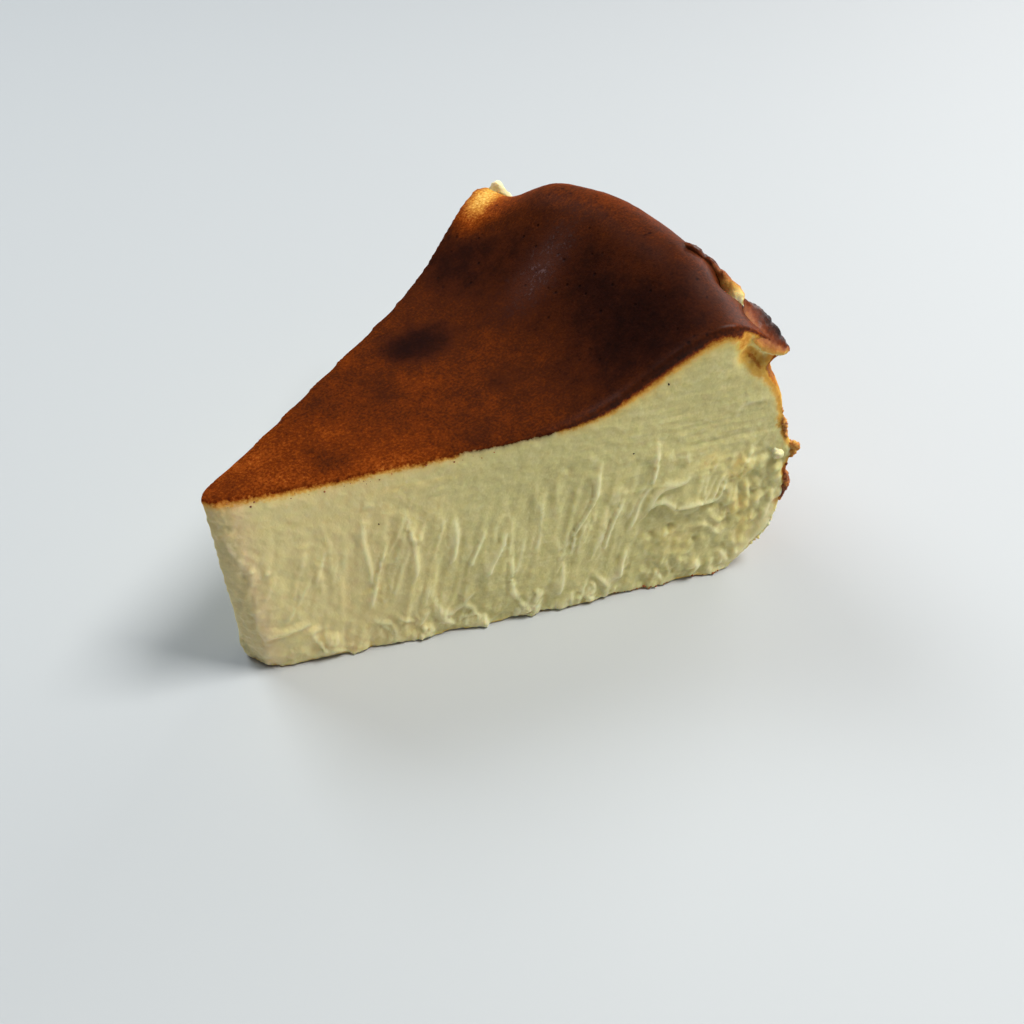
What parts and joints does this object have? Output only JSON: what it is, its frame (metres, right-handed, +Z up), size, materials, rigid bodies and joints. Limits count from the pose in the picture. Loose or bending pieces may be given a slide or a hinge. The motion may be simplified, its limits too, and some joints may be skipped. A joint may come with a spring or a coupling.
{
  "type": "basque cheesecake slice",
  "caption": "Wedge-cut slice of burnt-topped Basque cheesecake: sunken dark caramel top, raised crown at the rim, creamy knife-cut sides and a rough baked wall.",
  "frame": {"origin": "under the middle of the slice's bounding box, on the surface that it rests on", "axes": "+X from the tip towards the baked rim, +Y towards the back cut, +Z up"},
  "size_m": [0.1008, 0.081, 0.0627],
  "materials": {
    "custard": "moist baked custard, burnt to a dark caramel skin on top and golden brown on the wall"
  },
  "bodies": {
    "root": {"cheesecake_slice": "custard"}
  },
  "joints": []
}
